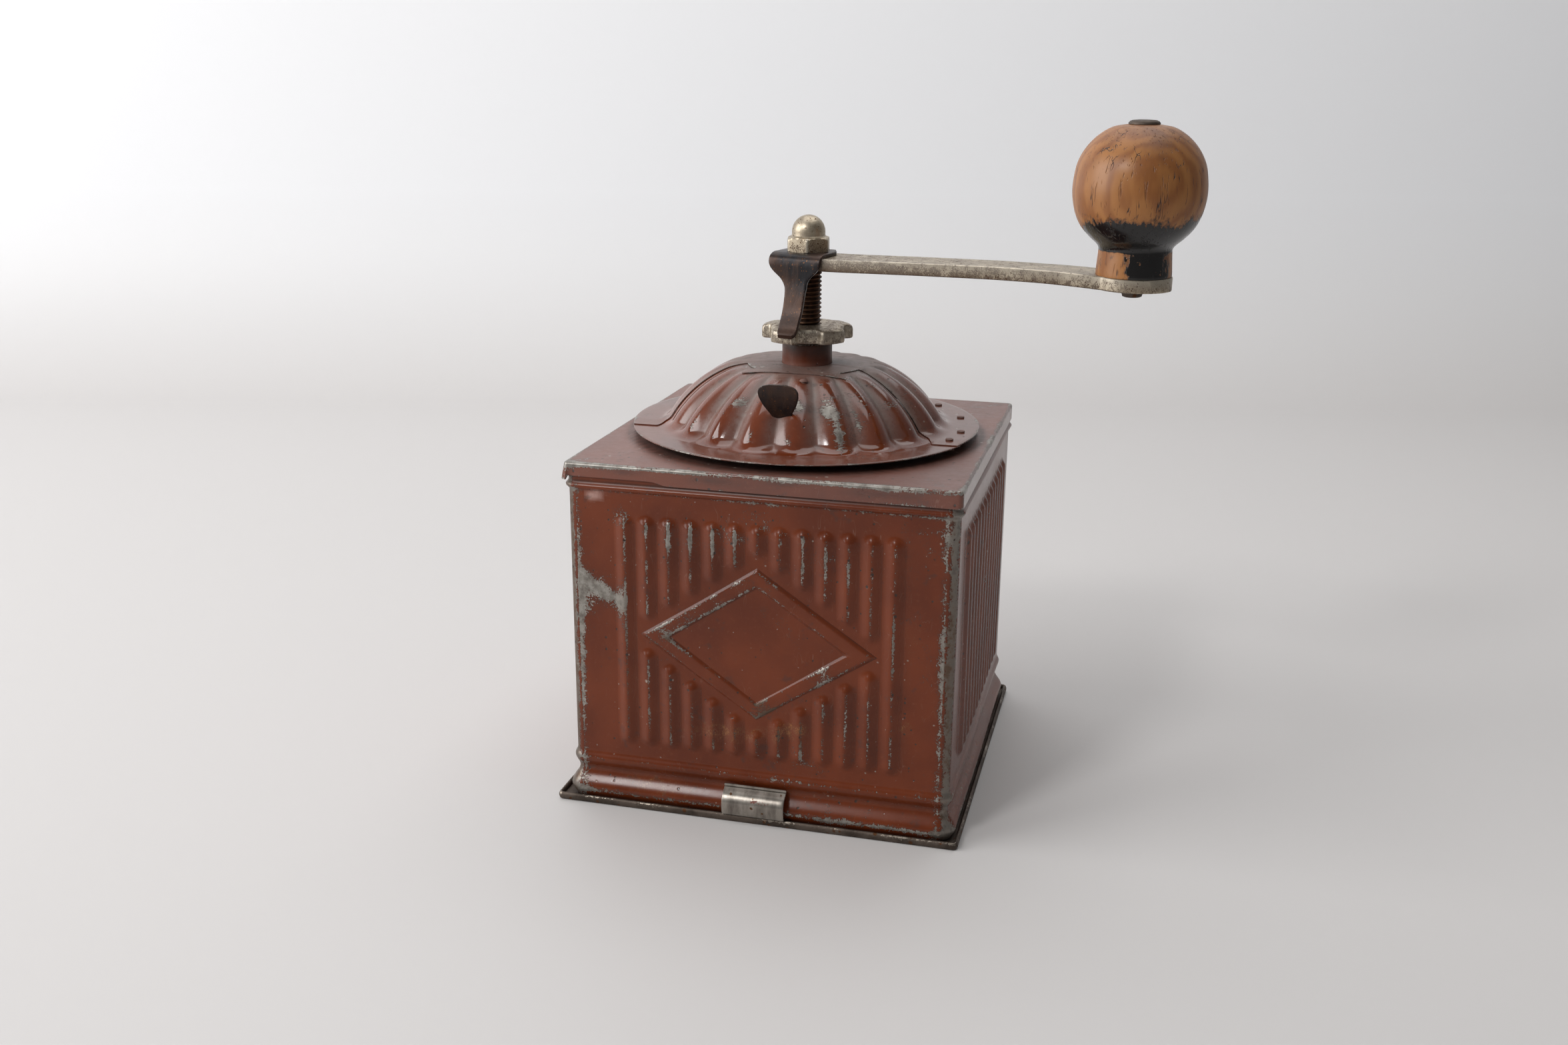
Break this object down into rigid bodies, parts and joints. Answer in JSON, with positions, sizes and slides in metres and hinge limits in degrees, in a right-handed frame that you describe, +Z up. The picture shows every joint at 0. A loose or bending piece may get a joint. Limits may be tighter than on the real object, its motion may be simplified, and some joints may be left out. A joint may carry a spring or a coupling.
{
  "type": "hand crank coffee grinder",
  "caption": "Square tin box mill with pressed ribs, a fluted hopper with a turning door, a crank with a wooden knob, a notched grind wheel and a hinged base.",
  "frame": {"origin": "centre of the underside of the base plate, on the spindle's axis", "axes": "+Z up along the spindle, -Y out of the front face with the lozenge and the clip, +X to the viewer's right"},
  "size_m": [0.1688, 0.1202, 0.1925],
  "materials": {
    "enamel": "worn red-brown enamel on tinplate",
    "tin": "bare tinplate with a few paint remnants",
    "dark_steel": "darkened steel sheet with a worn rim",
    "nickel": "dull nickel plate with rust specks",
    "spring_steel": "blackened steel with brown rust",
    "shaft_steel": "rust-toned plain steel",
    "cast_iron": "plain grey casting",
    "wood": "orange-brown turned wood with worn black lacquer",
    "rivet_steel": "plain steel fasteners"
  },
  "bodies": {
    "housing": {"body_shell": "enamel", "top_cover": "enamel", "hopper_cowl": "enamel", "cowl_rivets": "enamel", "neck_bush": "enamel", "hopper_spider": "cast_iron", "spider_rivets": "rivet_steel", "hopper_funnel": "tin", "burr_ring": "cast_iron", "burr_bridge": "dark_steel", "lower_bush": "shaft_steel", "ring_screws": "rivet_steel", "ring_nuts": "rivet_steel", "body_hinge_leaf": "dark_steel", "hinge_pin": "rivet_steel", "leaf_rivets": "rivet_steel"},
    "washer": {"thrust_washer": "shaft_steel"},
    "crank": {"spindle": "shaft_steel", "inner_burr": "cast_iron", "burr_pin": "rivet_steel", "crank_arm": "nickel", "lock_strap": "spring_steel", "cap_nut": "nickel", "knob_pin": "rivet_steel"},
    "grind_wheel": {"adjusting_nut": "nickel"},
    "tongue": {"lock_tongue": "spring_steel"},
    "handle": {"knob": "wood"},
    "door": {"hopper_door": "enamel", "door_tab": "spring_steel", "tab_rivet": "enamel"},
    "base": {"base_plate": "dark_steel", "base_hinge_leaf": "dark_steel"},
    "clip": {"base_clip": "tin"}
  },
  "joints": [
    {"name": "crank_spin", "type": "hinge", "parent": "housing", "child": "washer", "pos_m": [0, 0, 0.128], "axis": [0, 0, 1], "continuous": true},
    {"name": "nut_turn", "type": "hinge", "parent": "washer", "child": "grind_wheel", "pos_m": [0, 0, 0.13], "axis": [0, 0, 1], "range_deg": [-73, 361]},
    {"name": "grind_lift", "type": "slide", "parent": "washer", "child": "crank", "axis": [0, 0, 1], "range_m": [-0.00125, 0.00025]},
    {"name": "tongue_flex", "type": "hinge", "parent": "crank", "child": "tongue", "pos_m": [-0.00209, -0.00906, 0.146], "axis": [-0.9744, 0.225, 0], "range_deg": [0, 10], "stiffness_Nm_per_rad": 0.4},
    {"name": "knob_spin", "type": "hinge", "parent": "crank", "child": "handle", "pos_m": [0.09218, -0.02128, 0.17], "axis": [0, 0, 1], "continuous": true},
    {"name": "door_turn", "type": "hinge", "parent": "housing", "child": "door", "pos_m": [0, 0, 0.12], "axis": [0, 0, 1], "range_deg": [-40, 0]},
    {"name": "base_swing", "type": "hinge", "parent": "housing", "child": "base", "pos_m": [0, 0.05955, 0.0034], "axis": [1, 0, 0], "range_deg": [0, 100]},
    {"name": "clip_flex", "type": "hinge", "parent": "base", "child": "clip", "pos_m": [0, -0.0578, 0.0022], "axis": [1, 0, 0], "range_deg": [0, 16], "stiffness_Nm_per_rad": 0.5}
  ],
  "couplings": [
    {"joint": "nut_turn", "follows": "grind_lift", "rad_per_m": -5026.5}
  ]
}
